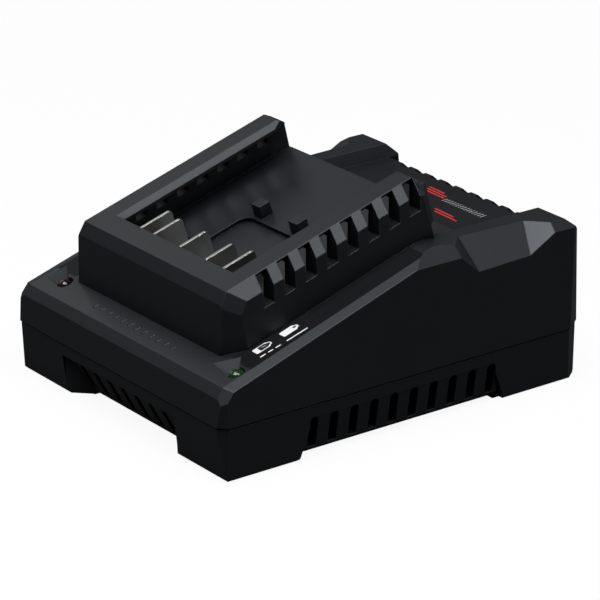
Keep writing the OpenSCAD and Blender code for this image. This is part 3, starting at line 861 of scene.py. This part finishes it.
class CHARGER_OT_indicator_strip(bpy.types.Operator):
    """Finish the strip's film and its front corner, and print signs, dashes and a line."""

    bl_idname = "charger.indicator_strip"
    bl_label = "Print Indicator Strip"

    def execute(self, context):
        s = context.scene.charger
        black = film("strip_film", s.colours.film)
        dress(black, "indicator_strip")
        top = s.sizes.ink_depth
        corner = [(44.2, 16.95), (47.8, 14.4), (49.1, 13.8),
                  (50.45, 13.8), (50.75, 17.35), (45.3, 17.6)]
        patch = raised("strip_corner_film", [corner], black, DECK, PRINT_GAP, top)
        dashes = [((50.2, 19.3), (50.25, 21.2)), ((50.3, 22.2), (50.4, 23.9)),
                  ((50.4, 24.9), (50.5, 26.7)), ((50.55, 28.9), (50.75, 36.6))]
        whites = [battery_outline(46.6, 19.8, 3.0, 6.1), battery_outline(46.7, 29.8, 3.0, 6.1)]
        whites += [bar(a, b, 0.5) for a, b in dashes]
        white = ink("white_ink", s.colours.white_ink)
        signs = raised("strip_signs", whites, white, DECK, PRINT_GAP, top)
        window = battery_outline(46.6, 21.5, 2.3, 4.0)
        tick = [(45.95, 34.2), (47.15, 34.2), (46.8, 35.5), (46.45, 35.5)]
        dark = ink("dark_ink", lighter(s.colours.film, 1.6))
        low, high = top + PRINT_GAP, top * 1.6
        marks = raised("strip_sign_windows", [window, tick], dark, DECK, low, high)
        bolt = bar((46.35, 22.6), (46.75, 24.0), 0.55)
        grey = ink("grey_ink", lighter(s.colours.white_ink, 0.25))
        level = raised("strip_sign_level", [bolt], grey, DECK, top * 1.7, top * 2.2)
        return {"FINISHED"}


class CHARGER_OT_ledge_dashes(bpy.types.Operator):
    """Raise a row of plain dashes on the front ledge."""

    bl_idname = "charger.ledge_dashes"
    bl_label = "Raise Ledge Dashes"

    def execute(self, context):
        rise = context.scene.charger.sizes.dash_depth
        near, far, lean, width, pitch = 6.9, 9.3, 0.6, 1.3, 3.9
        # each dash leans to the right, where the row comes a little nearer to the lip
        row = [bar((x, near - 0.012 * x), (x + lean, far - 0.012 * x), width)
               for x in np.arange(-22.0, 21.5, pitch)]
        black = bpy.data.materials["housing_black"]
        dashes = raised("ledge_raised_dashes", row, black, DECK, -0.02 * MM, rise, 0.22)
        return {"FINISHED"}


class CHARGER_OT_rail_ends(bpy.types.Operator):
    """Fill the rear ends of both rails out to their facets.

    Four-sided rings in the Y-Z plane are carried along X, from the channel's wall outwards,
    and mirrored for the other side.
    """

    bl_idname = "charger.rail_ends"
    bl_label = "Fill Rail Ends"

    def execute(self, context):
        # a ring's x, then y and z of its foot, front and rear, and of its top, rear and front
        rings = [(35.90, (92.0, 58.5), (95.25, 58.5), (94.95, 61.99), (92.0, 61.09)),
                 (36.92, (92.0, 58.5), (95.25, 58.5), (94.95, 61.99), (92.0, 61.09)),
                 (36.93, (87.6, 58.5), (95.8, 58.5), (92.8, 70.75), (87.4, 73.3)),
                 (38.41, (87.6, 58.5), (94.9, 58.5), (91.4, 71.6), (86.9, 73.85)),
                 (40.34, (87.6, 58.5), (92.9, 58.5), (89.7, 72.5), (87.2, 72.3)),
                 (42.40, (87.6, 58.5), (90.6, 58.5), (87.7, 68.5), (87.5, 68.5))]
        points, faces = lofted(np.array(
            [[(x * MM, FRONT + y * MM, z * MM) for y, z in ring] for x, *ring in rings]
        ))
        mirrored = (points * (-1, 1, 1), [face[::-1] for face in faces])
        points, faces = joined([(points, faces), mirrored])
        black = bpy.data.materials["housing_black"]
        ends = piece("rail_end_facets", points, faces, black, smooth=False)
        return {"FINISHED"}


class CHARGER_OT_tray_strokes(bpy.types.Operator):
    """Print the plain white and red strokes on the rear tray."""

    bl_idname = "charger.tray_strokes"
    bl_label = "Print Tray Strokes"

    def execute(self, context):
        s = context.scene.charger
        near, far, width, pitch = 124.0, 126.6, 0.42, 1.38
        whites = [bar((x, near), (x, far), width) for x in np.arange(6.8, 26.4, pitch)]
        pale = ink("pale_ink", lighter(s.colours.white_ink, 0.35))
        white = raised("tray_white_strokes", whites, pale, TRAY, PRINT_GAP, s.sizes.ink_depth)
        ends = [((-6.0, 129.3), (2.0, 129.0)), ((-5.4, 127.8), (5.0, 127.4)),
                ((-4.8, 126.3), (5.4, 125.9)), ((11.2, 117.6), (21.0, 117.2)),
                ((13.0, 116.0), (24.6, 115.6))]
        reds = [bar(a, b, 0.8) for a, b in ends]
        bright = ink("red_ink", s.colours.red_ink)
        red = raised("tray_red_strokes", reds, bright, TRAY, PRINT_GAP, s.sizes.ink_depth)
        return {"FINISHED"}


class CHARGER_OT_lights(bpy.types.Operator):
    """Make the two light pipes with their domes, and the LEDs under them."""

    bl_idname = "charger.lights"
    bl_label = "Make Lights"

    def execute(self, context):
        s = context.scene.charger
        # the green pipe glows with its lit LED; the red pipe is unlit, so its faint glow is
        # painted light
        tints = {"green": (s.colours.green_lens, 0.45), "red": (s.colours.red_lens, 0.12)}
        for name, (tone, glow) in tints.items():
            self.light_pipe(name, tone, glow)
            self.led(name, tone)
        return {"FINISHED"}

    def light_pipe(self, name, tone, glow):
        """Stem, retaining collar and dome, turned as one profile."""
        node = f"{name}_light_pipe"
        centre, low, high = middle(node)
        tall = (high - low) / MM
        # the stem's radius, the dome's height; the collar's radius, upper side and thickness
        stem, dome = 2.4, 1.9
        wide, collar, thick = stem + 0.4, tall - 5.0, 1.2
        profile = np.vstack([
            [[0, 0], [stem - 0.3, 0]], arc((stem - 0.3, 0.3), 0.3, -90, 0, 4),
            [[stem, collar - thick]], arc((wide, collar - thick + 0.2), 0.2, -90, 0, 3),
            arc((wide, collar - 0.2), 0.2, 0, 90, 3), [[stem, collar]],
            arc((0, 0), 1, 0, 90, 12) * (stem, dome) + (0, tall - dome),
        ])
        profile[-1] = (0, tall)
        points, faces, uv = turned(profile, (*centre, low))
        clear = lens(f"{name}_lens", tone, glow, centre)
        made = piece(f"{name}_light_dome", points, faces, clear, uv)
        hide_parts(node)

    def led(self, name, tone):
        """Flanged epoxy body with a domed top, turned as one profile."""
        node = f"{name}_led"
        centre, low, high = middle(node)
        tall = (high - low) / MM
        r, flange = 1.5, 1.9
        profile = np.vstack([
            [[0, 0], [flange, 0], [flange, 0.9], [flange - 0.1, 1.0], [r, 1.0]],
            arc((0, tall - r), r, 0, 90, 10),
        ])
        profile[-1] = (0, tall)
        points, faces, uv = turned(profile, (*centre, low), steps=32)
        body = moulded_epoxy(f"{name}_led_epoxy", lighter(tone, 1.3), 0.1 * MM, rough=0.14)
        made = piece(f"{name}_led_body", points, faces, body, uv)
        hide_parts(node)


class CHARGER_OT_board(bpy.types.Operator):
    """Finish the circuit board and the flat parts on it."""

    bl_idname = "charger.board"
    bl_label = "Finish Circuit Board"

    def execute(self, context):
        s = context.scene.charger
        c, small = s.colours, s.sizes.small_radius
        dress(board_laminate("board_mask", c.laminate, c.copper), "circuit_board")
        black = moulded_epoxy("black_package", c.epoxy, small)
        dress(black, "controller_chip", "bridge_rectifier", "power_transistor",
              "output_diode", "line_choke_base")
        dress(moulded_epoxy("white_package", c.ceramic, small, rough=0.4), "optocoupler")
        box = moulded_epoxy("yellow_box", c.yellow, 0.3 * MM, rough=0.22)
        dress(box, "suppression_capacitor")
        dress(moulded_epoxy("terminal_green", c.terminal, small, rough=0.34), "mains_terminal")
        low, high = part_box("fuse")
        dress(fuse_finish("fuse_ceramic", low[1], high[1]), "fuse")
        return {"FINISHED"}


class CHARGER_OT_wound_parts(bpy.types.Operator):
    """Finish the transformer and wind the line choke with wire."""

    bl_idname = "charger.wound_parts"
    bl_label = "Make Wound Parts"

    def execute(self, context):
        s = context.scene.charger
        c, small = s.colours, s.sizes.small_radius
        core = sintered("ferrite_grey", c.ferrite, small)
        dress(core, "transformer_core")
        dress(wrapped_tape("winding_tape", c.tape, 0.4 * MM), "transformer_winding")
        self.choke(s, core)
        return {"FINISHED"}

    def choke(self, s, core_finish):
        """Ring core with a rectangular section, and wire that follows it on a helix.

        The wire's centre line at angle t round the ring is at (R + a cos p) from the
        axis and b sin p high, with p = turns * t; squareness flattens it to the core's section.
        """
        (x, y), low, high = middle("line_choke")
        box_low, box_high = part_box("line_choke")
        bore, outer = 4.0 * MM, (box_high[0] - box_low[0]) / 2
        ring, wide = (outer + bore) / 2, (outer - bore) / 2
        middle_z, half = (low + high) / 2, (high - low) / 2
        wire = s.sizes.wire_radius
        # the core lies a wire's thickness and a little air inside the box
        inset, steps, sides = 2.1 * wire, 64, 4
        r, z = np.array([(ring + (wide - inset) * side, (half - inset) * level)
                         for side, level in ((-1, -1), (1, -1), (1, 1), (-1, 1))]).T
        a = np.linspace(0, 2 * math.pi, steps, endpoint=False)[:, None]
        places = np.broadcast_arrays(r * np.cos(a), r * np.sin(a), z)
        points = np.stack(places, -1).reshape(-1, 3) + (x, y, middle_z)
        faces = hoop_faces(steps, sides)
        core = piece("choke_core", points, faces, core_finish, smooth=False)
        turns = s.sizes.choke_turns
        per_turn, squareness = 20, 0.82
        t = np.linspace(0, 2 * math.pi, turns * per_turn, endpoint=False)
        p = turns * t
        flat = 1 / np.maximum(np.abs(np.cos(p)), np.abs(np.sin(p))) ** squareness
        out = ring + (wide - wire) * np.clip(np.cos(p) * flat, -1, 1)
        up = (half - wire) * np.clip(np.sin(p) * flat, -1, 1)
        path = np.stack([x + out * np.cos(t), y + out * np.sin(t), middle_z + up], -1)
        points, faces = swept_tube(path, wire)
        copper = enamelled_wire("copper_wire", s.colours.copper)
        made = piece("choke_wire", points, faces, copper)
        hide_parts("line_choke")


class CHARGER_OT_capacitors(bpy.types.Operator):
    """Make the round capacitors with crimped sleeves and flat, sunk tops."""

    bl_idname = "charger.capacitors"
    bl_label = "Make Capacitors"

    def execute(self, context):
        c = context.scene.charger.colours
        sleeve = can_sleeve("capacitor_sleeve", c.sleeve, c.aluminium)
        (x, y), low, high = middle("input_capacitor")
        start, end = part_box("input_capacitor")
        radius = (end[0] - start[0]) / 2
        points, faces, uv = self.can((x, y, low), radius / MM, (high - low) / MM)
        made = piece("input_capacitor_can", points, faces, sleeve, uv)
        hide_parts("input_capacitor")
        start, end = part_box("output_capacitors")
        radius, tall = 5, (end[2] - start[2]) / MM
        r = radius * MM
        feet = ((end[0] - r, start[1] + r, start[2]), (start[0] + r, end[1] - r, start[2]))
        cans = [self.can(foot, radius, tall) for foot in feet]
        points, faces = joined([(p, f) for p, f, _ in cans])
        uv = np.vstack([u for _, _, u in cans])
        made = piece("output_capacitor_cans", points, faces, sleeve, uv)
        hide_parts("output_capacitors")
        return {"FINISHED"}

    def can(self, foot, r, tall):
        """Can with a rounded foot, a crimp near it, a rolled rim and a flat top."""
        # radii of the foot's and the rim's edge, heights of the groove and of the sunk top
        foot_r, rim_r, crimp, sunk = 0.5, 0.6, 2.2, tall - 0.25
        profile = np.vstack([
            [[0, 0], [r - foot_r, 0]], arc((r - foot_r, foot_r), foot_r, -90, 0, 5),
            [[r, crimp - 0.6]], arc((r + 0.25, crimp), 0.6, 240, 120, 7),
            [[r, crimp + 0.7], [r, tall - 0.7]],
            arc((r - rim_r, tall - rim_r), rim_r, 0, 90, 6),
            [[r - 0.9, tall - 0.05], [r - 1.1, sunk], [0.6, sunk], [0, sunk]],
        ])
        return turned(profile, foot)


class CHARGER_OT_power_parts(bpy.types.Operator):
    """Finish the heat sinks as drawn aluminium."""

    bl_idname = "charger.power_parts"
    bl_label = "Finish Heat Sinks"

    def execute(self, context):
        s = context.scene.charger
        tone, small = s.colours.aluminium, s.sizes.small_radius
        drawn = plated_metal("drawn_aluminium", tone, small, rough=0.34, line=(1, 1, 0.03))
        dress(drawn, "primary_heat_sink", "secondary_heat_sink")
        return {"FINISHED"}


class CHARGER_OT_fasteners(bpy.types.Operator):
    """Finish the gland, the cord clamp and all screws."""

    bl_idname = "charger.fasteners"
    bl_label = "Finish Fasteners"

    def execute(self, context):
        s = context.scene.charger
        c, small = s.colours, s.sizes.small_radius
        rubber = moulded_plastic(
            "gland_rubber", c.rubber, s.sizes, rough=0.58, radius=small, gloss=0.3
        )
        dress(rubber, "cord_gland")
        zinc = plated_metal("zinc_steel", c.steel, small, rough=0.30, line=(1, 1, 1))
        dress(zinc, "cord_clamp", "cord_clamp_screws", "housing_screws", "circuit_board_screws")
        return {"FINISHED"}


class CHARGER_OT_stage(bpy.types.Operator):
    """Set the floor, the room, the lamps and the camera."""

    bl_idname = "charger.stage"
    bl_label = "Set Stage"

    def execute(self, context):
        stage = context.scene.charger.stage
        self.floor(stage)
        self.room(stage)
        for name, place, size, setting in LAMPS:
            self.lamp(name, place, size, getattr(stage, setting))
        self.camera(stage)
        context.scene.view_settings.view_transform = "Standard"
        return {"FINISHED"}

    def floor(self, stage):
        """Pale floor: grey for light, white for the camera, with the charger's shadow."""
        side, drop = 3.0, -0.1 * MM
        corners = [(x * side, y * side, drop) for x, y in ((-1, -1), (1, -1), (1, 1), (-1, 1))]
        mesh = bpy.data.meshes.new("floor")
        mesh.from_pydata(corners, [], [(0, 1, 2, 3)])
        floor = bpy.data.objects.new("floor", mesh)
        bpy.context.scene.collection.objects.link(floor)
        f = Finish("floor_paper")
        tone = f.shades(f.cloud(2 * MM), (stage.floor_tone,) * 3, 0.97, 1.03)
        paper = f.node("ShaderNodeBsdfDiffuse", inputs={"Color": tone})
        white = f.seen(FLOOR_MIRRORED) * stage.floor_glow
        glow = f.node("ShaderNodeEmission", inputs={"Strength": white})
        both = f.node("ShaderNodeAddShader", inputs={0: paper, 1: glow})
        mesh.materials.append(f.finished(both))

    def room(self, stage):
        """Even room light; white for the camera and pale for shiny surfaces."""
        world = bpy.data.worlds.new("room")
        bpy.context.scene.world = world
        world.use_nodes = True
        g = Graph(world.node_tree)
        strength = stage.room_tone + g.seen(ROOM_MIRRORED) * (1 - stage.room_tone)
        inputs = {"Color": (1.0, 1.0, 1.0), "Strength": strength}
        glow = g.node("ShaderNodeBackground", inputs=inputs)
        g.node("ShaderNodeOutputWorld", inputs={"Surface": glow})

    def lamp(self, name, place, size, energy):
        """Flat area lamp at place that faces the case, size wide and high."""
        lamp = bpy.data.lights.new(name, "AREA")
        lamp.shape = "RECTANGLE"
        lamp.size, lamp.size_y = size
        lamp.energy = energy
        made = bpy.data.objects.new(name, lamp)
        made.location = place
        aim = Vector(LAMP_AIM) - Vector(place)
        made.rotation_euler = aim.to_track_quat("-Z", "Y").to_euler()
        bpy.context.scene.collection.objects.link(made)

    def camera(self, stage):
        """Camera on a ray at azimuth and elevation from the case's middle, looking along it."""
        az, el = stage.azimuth, stage.elevation
        away = Vector((math.sin(az) * math.cos(el), -math.cos(az) * math.cos(el), math.sin(el)))
        right = Vector((math.cos(az), math.sin(az), 0))
        turn = Matrix((right, away.cross(right), away)).transposed()
        data = bpy.data.cameras.new("camera")
        data.sensor_fit = "HORIZONTAL"
        data.sensor_width = 36
        data.lens = stage.lens
        data.shift_x, data.shift_y = CAMERA_SHIFT
        data.clip_start, data.clip_end = 0.05, 20
        made = bpy.data.objects.new("camera", data)
        place = Vector(CAMERA_AIM) + away * stage.distance
        made.matrix_world = Matrix.Translation(place) @ turn.to_4x4()
        bpy.context.scene.collection.objects.link(made)
        bpy.context.scene.camera = made


STEPS = (
    CHARGER_OT_housings,
    CHARGER_OT_contacts,
    CHARGER_OT_indicator_strip,
    CHARGER_OT_ledge_dashes,
    CHARGER_OT_rail_ends,
    CHARGER_OT_tray_strokes,
    CHARGER_OT_lights,
    CHARGER_OT_board,
    CHARGER_OT_wound_parts,
    CHARGER_OT_capacitors,
    CHARGER_OT_power_parts,
    CHARGER_OT_fasteners,
    CHARGER_OT_stage,
)


class CHARGER_PT_panel(bpy.types.Panel):
    """Lists the charger's steps and settings."""

    bl_label = "Charger"
    bl_idname = "CHARGER_PT_panel"
    bl_space_type = "VIEW_3D"
    bl_region_type = "UI"
    bl_category = "Charger"

    def draw(self, context):
        settings = context.scene.charger
        for step in STEPS:
            self.layout.operator(step.bl_idname)
        for group in (settings.sizes, settings.colours, settings.stage):
            box = self.layout.box()
            for name in group.__annotations__:
                box.prop(group, name)


CLASSES = (
    ChargerColours, ChargerSizes, ChargerStage, ChargerSettings, *STEPS, CHARGER_PT_panel
)


def register():
    """Registers the classes and gives each scene its settings."""
    for cls in CLASSES:
        bpy.utils.register_class(cls)
    bpy.types.Scene.charger = PointerProperty(type=ChargerSettings)


def unregister():
    """Takes back what register did."""
    del bpy.types.Scene.charger
    for cls in reversed(CLASSES):
        bpy.utils.unregister_class(cls)


def main():
    """Runs every step."""
    register()
    for step in STEPS:
        family, name = step.bl_idname.split(".")
        getattr(getattr(bpy.ops, family), name)()


if __name__ == "__main__":
    main()
